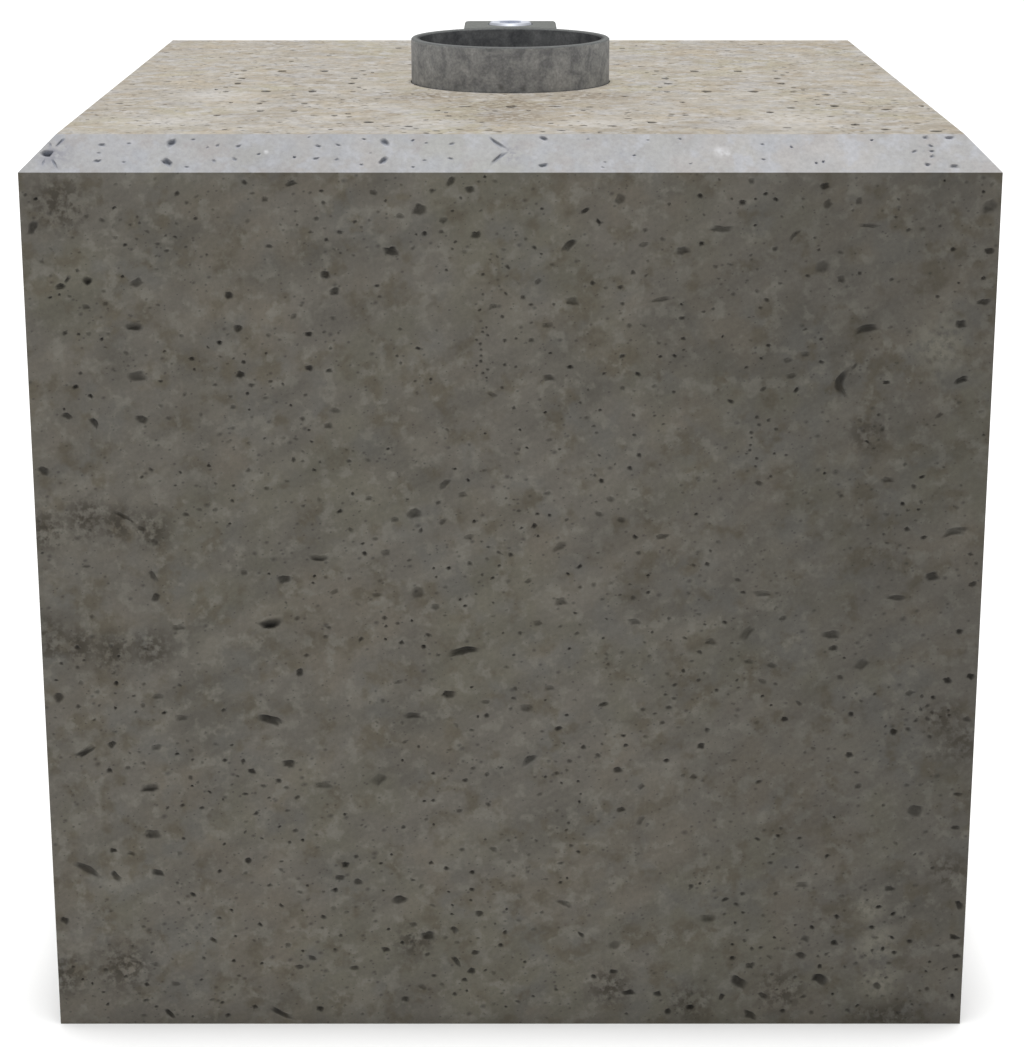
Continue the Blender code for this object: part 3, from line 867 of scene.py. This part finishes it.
def concrete(name, tones, upright):
    """Cast concrete: cement paste in drifting tones over fine sand, dull and dry, with pin holes."""
    material, shader = start_material(name)
    shader.inputs["Roughness"].default_value = 0.9
    shader.inputs["IOR"].default_value = 1.5

    place = add(material, "TexCoord").outputs["Object"]
    split = add(material, "SeparateXYZ", {0: place})
    if upright:
        # X or Y stands still on each upright face, so their sum runs across it
        total = add(material, "Math", {0: split.outputs["X"], 1: split.outputs["Y"]}, operation="ADD")
        across, up = total.outputs[0], split.outputs["Z"]
    else:
        across, up = split.outputs["X"], split.outputs["Y"]
    on_face = add(material, "CombineXYZ", {"X": across, "Y": up}).outputs[0]
    sand = add(
        material, "TexNoise",
        {"Vector": place, "Scale": 1 / (tones["sand"] * MM), "Detail": 3.0, "Roughness": 0.7},
    )

    colour = drifting_paste(material, place, tones)
    colour = worked(material, on_face, split.outputs["X"], sand, tones, colour)
    colour = smudged(material, place, tones, colour)
    # Pin holes and air holes are darker than the face: they hold some dust, and the rest is painted shade
    hollow = add(material, "Attribute", attribute_name="hollow").outputs["Fac"]
    for share in (pin_holes(material, place, on_face, tones["pin"]), hollow):
        darkened = add(
            material, "Mix",
            {FACTOR: share, COLOUR_A: colour, COLOUR_B: linear(tones["hole"])},
            data_type="RGBA",
        )
        colour = darkened.outputs[MIXED]
    material.node_tree.links.new(colour, shader.inputs["Base Color"])

    bump = add(material, "Bump", {"Strength": 0.5, "Distance": 0.15 * MM, "Height": sand.outputs["Fac"]})
    material.node_tree.links.new(bump.outputs[0], shader.inputs["Normal"])
    return material


# The colour of the drips on the steel, and of the painted shade at the left and right ends inside the bore
DRIP_AND_BORE_SHADE_TONE = "2a2b2d"


def mottled_zinc(material, place, dark, light):
    """The colour of a weathered zinc coat: mottled grey, with faint runs down the wall."""
    mottle = add(
        material, "TexNoise",
        {"Vector": place, "Scale": 1 / (6 * MM), "Detail": 5.0, "Roughness": 0.65, "Distortion": 0.5},
    )
    cloud = add(material, "MapRange", {"Value": mottle.outputs["Fac"], "From Min": 0.33, "From Max": 0.7})
    drawn_down = add(material, "Mapping", {0: place, "Scale": (1, 1, 0.22)})
    runs = add(
        material, "TexNoise",
        {"Vector": drawn_down.outputs[0], "Scale": 1 / (4.5 * MM), "Detail": 2.0, "Roughness": 0.5},
    )
    run = add(
        material, "MapRange",
        {"Value": runs.outputs["Fac"], "From Min": 0.3, "From Max": 0.5, "To Min": -0.25, "To Max": 0},
    )
    share = add(
        material, "Math", {0: run.outputs[0], 1: cloud.outputs[0]}, operation="ADD", use_clamp=True,
    )
    tone = add(
        material, "Mix",
        {FACTOR: share.outputs[0], COLOUR_A: linear(dark), COLOUR_B: linear(light)},
        data_type="RGBA",
    )
    return tone.outputs[MIXED]


def drips_and_bore_shade(material, place, drips, bore_shade_spots):
    """How dark a place is from the painted shade at the left and right ends inside the bore, and from drips
    at the foot of the wall.
    """
    on_axis = add(material, "VectorMath", {0: place, 1: (1, 1, 0)}, operation="MULTIPLY")
    from_axis = add(material, "VectorMath", {0: on_axis.outputs[0], 1: BORE_AXIS}, operation="DISTANCE")
    inside = add(
        material, "MapRange",
        {
            "Value": from_axis.outputs["Value"], "From Min": BORE_RADIUS + 0.5 * MM,
            "From Max": BORE_RADIUS + 1.5 * MM, "To Min": 0.85, "To Max": 0.0,
        },
    )
    # Painted shade at the two ends of the bore, only on its inner wall
    bore_shade = add(
        material, "Math", {0: patches(material, place, bore_shade_spots), 1: inside.outputs[0]}, operation="MULTIPLY",
    )
    drip = add(material, "Math", {0: patches(material, place, drips), 1: 0.55}, operation="MULTIPLY")
    return add(material, "Math", {0: bore_shade.outputs[0], 1: drip.outputs[0]}, operation="MAXIMUM").outputs[0]


def galvanised_steel(name, dark, light, sawn_end_and_shade, roughness, drips, bore_shade_spots):
    """Hot-dip galvanised steel, weathered: a dull mottled zinc coat, darker on the faces that look up, which
    is partly the sawn ends and partly painted shade, with painted shade at the ends of the bore where given.
    """
    material, shader = start_material(name)
    coordinates = add(material, "TexCoord")
    place = coordinates.outputs["Object"]
    colour = mottled_zinc(material, place, dark, light)
    # Faces that look up are the sawn ends; their darker tone is partly painted shade, so that lit tops and
    # edge bevels don't show bright
    facing = add(material, "SeparateXYZ", {0: coordinates.outputs["Normal"]})
    end = add(material, "MapRange", {"Value": facing.outputs["Z"], "From Min": 0.1, "From Max": 0.35})
    # How much painted shade darkens the ends of the bore, and how dark the drips make the foot of the wall
    dark_marks = drips_and_bore_shade(material, place, drips, bore_shade_spots)
    for share, tone in ((end.outputs[0], sawn_end_and_shade), (dark_marks, DRIP_AND_BORE_SHADE_TONE)):
        darkened = add(
            material, "Mix",
            {FACTOR: share, COLOUR_A: colour, COLOUR_B: linear(tone)},
            data_type="RGBA",
        )
        colour = darkened.outputs[MIXED]
    # The crystals of the zinc, drawn coarser than they are so that they show
    grain = add(material, "TexNoise", {"Vector": place, "Scale": 1 / (0.8 * MM), "Detail": 2.0})
    speckle = add(
        material, "MapRange",
        {"Value": grain.outputs["Fac"], "From Min": 0.3, "From Max": 0.7, "To Min": 0.84, "To Max": 1.16},
    )
    speckled = add(
        material, "Mix",
        {FACTOR: 1.0, COLOUR_A: colour, COLOUR_B: speckle.outputs[0]},
        data_type="RGBA", blend_type="MULTIPLY",
    )
    material.node_tree.links.new(speckled.outputs[MIXED], shader.inputs["Base Color"])
    # The sawn ends are rougher and have lost their shine
    dulled = add(material, "MapRange", {"Value": end.outputs[0], "To Min": roughness, "To Max": 0.92})
    material.node_tree.links.new(dulled.outputs[0], shader.inputs["Roughness"])
    shine = add(material, "MapRange", {"Value": end.outputs[0], "To Min": 0.6, "To Max": 0.25})
    material.node_tree.links.new(shine.outputs[0], shader.inputs["Metallic"])
    bump = add(material, "Bump", {"Strength": 0.4, "Distance": 0.12 * MM, "Height": grain.outputs["Fac"]})
    material.node_tree.links.new(bump.outputs[0], shader.inputs["Normal"])
    return material


def zinc_plate(name):
    """Bright zinc plating on a machined screw: pale and bluish, with a soft sheen that clouds a little."""
    material, shader = start_material(name)
    shader.inputs["Metallic"].default_value = 0.7
    place = add(material, "TexCoord").outputs["Object"]
    cloud = add(material, "TexNoise", {"Vector": place, "Scale": 1 / (3 * MM), "Detail": 3.0})
    tone = add(
        material, "Mix",
        {FACTOR: cloud.outputs["Fac"], COLOUR_A: linear("dfe4f0"), COLOUR_B: linear("f1f4fb")},
        data_type="RGBA",
    )
    material.node_tree.links.new(tone.outputs[MIXED], shader.inputs["Base Color"])
    dulled = add(material, "MapRange", {"Value": cloud.outputs["Fac"], "To Min": 0.42, "To Max": 0.55})
    material.node_tree.links.new(dulled.outputs[0], shader.inputs["Roughness"])
    return material


def dress(node, material):
    """Puts one material on a piece that keeps its solid."""
    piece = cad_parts[node]
    piece.data.materials.clear()
    piece.data.materials.append(material)


def make_camera():
    """The camera at the photograph's angle."""
    camera = bpy.data.objects.new("photo_camera", bpy.data.cameras.new("photo_camera"))
    bpy.context.scene.collection.objects.link(camera)
    camera.location = CAMERA_PLACE
    camera.rotation_euler = (CAMERA_PITCH, 0, 0)
    camera.data.lens = LENS_MM
    camera.data.sensor_width = 36
    camera.data.shift_x = FRAME_SHIFT_X
    camera.data.shift_y = FRAME_SHIFT_Y
    camera.data.clip_end = 100
    bpy.context.scene.camera = camera


def make_studio():
    """A plain white floor, one wide soft light from above and a little light from all round."""
    shape = bmesh.new()
    bmesh.ops.create_grid(shape, x_segments=1, y_segments=1, size=FLOOR_HALF)
    mesh = bpy.data.meshes.new("studio_floor")
    shape.to_mesh(mesh)
    shape.free()
    floor = bpy.data.objects.new("studio_floor", mesh)
    bpy.context.scene.collection.objects.link(floor)
    floor.location.z = -FLOOR_DROP
    # Matt and nearly white, so the floor shows no gloss and only a faint shadow
    paint, coat = start_material("pale_floor_paint")
    coat.inputs["Base Color"].default_value = linear("f6f6f6")
    coat.inputs["Roughness"].default_value = 0.9
    mesh.materials.append(paint)

    softbox = bpy.data.objects.new("softbox", bpy.data.lights.new("softbox", "SUN"))
    bpy.context.scene.collection.objects.link(softbox)
    softbox.data.energy = SOFTBOX_STRENGTH
    softbox.data.angle = SOFTBOX_SPREAD

    world = bpy.data.worlds.new("white_room")
    bpy.context.scene.world = world
    world.use_nodes = True
    background = world.node_tree.nodes["Background"]
    background.inputs["Color"].default_value = (1, 1, 1, 1)
    background.inputs["Strength"].default_value = ROOM_STRENGTH
    bpy.context.scene.view_settings.view_transform = "Standard"


make_camera()
make_studio()

# The form's sides leave a dull dark face; painted shade darkens it towards the right, where less light fell
SIDE_TONES = {
    "paste": "6b675f", "dark": "5c5951", "light": "747066", "warm": "6d675c", "olive": "69665a",
    "cool": "696761", "brown": "5f594c", "ash": "77746b", "hole": "242220",
    "left": 0.99, "right": 0.77, "fades_from": 0, "pin": 0.6, "trails": 0.18, "grain": 0.10, "sand": 1.5,
    "dark_marks": FRONT_DIRT, "dark_mark_tone": "433e35", "pale": FRONT_PALE, "paler": "777469",
}
# The fillet of the form is smooth, so the paste on the chamfer is fine, pale and cool
CHAMFER_TONES = {
    "paste": "a7a7a8", "dark": "a09f9e", "light": "aeaeb0", "warm": "aba8a6", "olive": "a7a7a4",
    "cool": "a5a7ac", "brown": "a5a2a1", "ash": "adaeb2", "hole": "7a7f8b",
    "left": 0.90, "right": 1.0, "fades_from": -120, "pin": 0.2, "trails": 0.06, "grain": 0.09, "sand": 1.5,
    "dark_marks": CHAMFER_DIRT, "dark_mark_tone": "8a8a90", "pale": CHAMFER_PALE, "paler": "c8c8ca",
}
# The open top was struck off and trowelled, which leaves it sandy, warm and coarse
TOP_TONES = {
    "paste": "a09a90", "dark": "91897c", "light": "a9a59e", "warm": "a09685", "olive": "9c9685",
    "cool": "9f9c99", "brown": "958b7c", "ash": "a8a5a1", "hole": "171513",
    "left": 1.0, "right": 1.0, "fades_from": -120, "pin": 0.9, "trails": 0.12, "grain": 0.20, "sand": 2.2,
    "dark_marks": TOP_DARKER_NEAR_SLEEVE, "dark_mark_tone": "7d7263", "pale": TOP_PALE, "paler": "b4b0aa",
}

skin = make_block_skin()
# In the order of the finishes in FACES
for finish in (
    concrete("form_cast_concrete", SIDE_TONES, upright=True),
    concrete("chamfer_concrete", CHAMFER_TONES, upright=True),
    concrete("trowelled_concrete", TOP_TONES, upright=False),
):
    skin.data.materials.append(finish)
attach(skin, "root")
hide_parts("concrete_block")

# The same dull zinc coat, which has gone darker on the lug than on the tube
# The third colour darkens the faces that look up, partly as painted shade; the bore's ends get painted shade
tube_steel = galvanised_steel("galvanised_tube", "8c8e91", "c4c5c5", "6c6e6d", 0.62, TUBE_DRIPS, BORE_END_SHADE)
lug_steel = galvanised_steel("galvanised_lug", "707276", "b4b5b6", "70726f", 0.6, [], [])
dress("post_sleeve", tube_steel)
dress("clamp_lug", lug_steel)
dress("clamp_screw", zinc_plate("zinc_plated_steel"))
